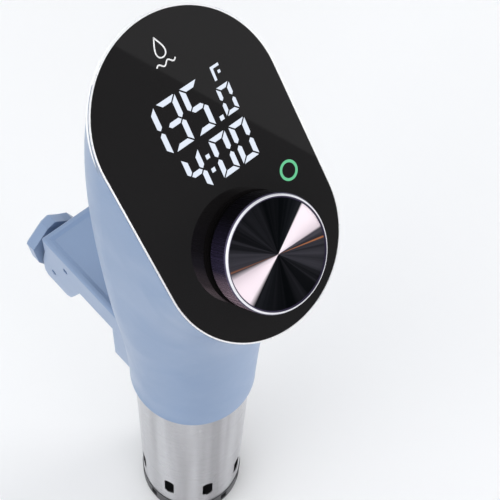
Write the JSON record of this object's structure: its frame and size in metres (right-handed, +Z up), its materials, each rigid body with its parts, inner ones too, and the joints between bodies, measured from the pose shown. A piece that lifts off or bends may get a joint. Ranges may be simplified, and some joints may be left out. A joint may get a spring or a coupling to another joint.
{
  "type": "sous vide circulator",
  "caption": "Clamp-on sous vide circulator with a tilted touch panel, dial, steel immersion sleeve and a screw clamp for the pot wall.",
  "frame": {"origin": "centre of the foot's flat face, on the axis of the steel sleeve", "axes": "+Z up the sleeve, +Y back towards the pot clamp, +X along the display's reading direction"},
  "size_m": [0.0776, 0.1492, 0.3772],
  "materials": {
    "housing_blue": "soft-touch satin, powder blue",
    "clamp_blue": "moulded satin, powder blue",
    "panel_black": "polished smoked black",
    "trim": "bright thin rim",
    "knob_black": "satin black",
    "knob_dark_metal": "turned, dark anodised",
    "knob_bright": "diamond-cut edge",
    "knob_spun": "radially spun face",
    "steel": "fine circumferential brushing",
    "inner_steel": "bright drawn",
    "brass": "turned",
    "rubber_dark": "matte",
    "seal_red": "silicone",
    "foot_plastic": "fine texture",
    "board_green": "solder resist",
    "part_black": "moulded",
    "part_white": "moulded nylon",
    "aluminium": "mill finish",
    "light_guide": "clear moulded",
    "zinc": "zinc plated"
  },
  "bodies": {
    "housing": {"front_shell": "housing_blue", "rear_shell": "housing_blue", "shell_seal": "rubber_dark", "housing_screws": "zinc", "cord_gland": "rubber_dark", "display_lens": "panel_black", "panel_trim": "trim", "panel_frame": "part_black", "display_board": "board_green", "display_board_screws": "zinc", "led_display_module": "part_white", "touch_ring_guide": "light_guide", "encoder_body": "part_black", "encoder_bush": "brass", "power_board": "board_green", "transformer": "part_black", "capacitors": "aluminium", "relay": "part_black", "heat_sink": "aluminium", "triac": "part_black", "terminal_block": "part_white", "motor_can": "zinc", "motor_bearings": "inner_steel", "motor_mount": "zinc", "motor_screws": "zinc", "motor_stator": "brass", "shaft_tube": "inner_steel", "lower_bushing": "brass", "upper_bushing": "brass", "shaft_seal": "seal_red", "bulkhead": "part_black", "sleeve_seal": "seal_red", "heater_coil": "inner_steel", "heater_nuts": "brass", "temperature_probe": "inner_steel", "level_probes": "inner_steel", "thermal_cutoff": "part_white", "clamp_bracket": "clamp_blue", "bracket_screws": "zinc", "jaw_liner": "rubber_dark", "threaded_insert": "brass"},
    "rotor": {"motor_shaft": "inner_steel", "motor_rotor": "inner_steel", "cooling_fan": "part_white", "drive_shaft": "inner_steel", "shaft_coupling": "part_white", "impeller": "part_black"},
    "encoder_rotor": {"encoder_rotor": "part_white"},
    "knob": {"encoder_spindle": "inner_steel", "knob_core": "knob_black", "knob_band": "knob_dark_metal", "knob_bezel": "knob_bright", "knob_face": "knob_spun"},
    "clamp_pad": {"pad_cup": "part_black", "pad_clip": "inner_steel", "pad_face": "rubber_dark"},
    "clamp_screw": {"clamp_screw": "zinc", "thumb_paddle": "clamp_blue"},
    "sleeve": {"steel_sleeve": "steel", "foot_cap": "foot_plastic"}
  },
  "joints": [
    {"name": "dial_turn", "type": "hinge", "parent": "housing", "child": "encoder_rotor", "pos_m": [0, -0.03553, 0.30803], "axis": [0, -0.7373, 0.6756], "continuous": true},
    {"name": "dial_press", "type": "slide", "parent": "encoder_rotor", "child": "knob", "axis": [0, 0.7373, -0.6756], "range_m": [0, 0.0006], "stiffness_N_per_m": 2500, "springref_m": -0.0008},
    {"name": "impeller_spin", "type": "hinge", "parent": "housing", "child": "rotor", "pos_m": [0, 0, 0.1], "axis": [0, 0, 1], "continuous": true},
    {"name": "clamp_travel", "type": "slide", "parent": "housing", "child": "clamp_pad", "axis": [0, -1, 0], "range_m": [-0.0124, 0.0012]},
    {"name": "clamp_screw_turn", "type": "hinge", "parent": "clamp_pad", "child": "clamp_screw", "pos_m": [0, 0.07, 0.178], "axis": [0, -1, 0], "range_deg": [-1786, 173]},
    {"name": "sleeve_pull", "type": "slide", "parent": "housing", "child": "sleeve", "axis": [0, 0, -1], "range_m": [0, 0.15]}
  ],
  "couplings": [
    {"joint": "clamp_screw_turn", "follows": "clamp_travel", "rad_per_m": 2513.3}
  ]
}
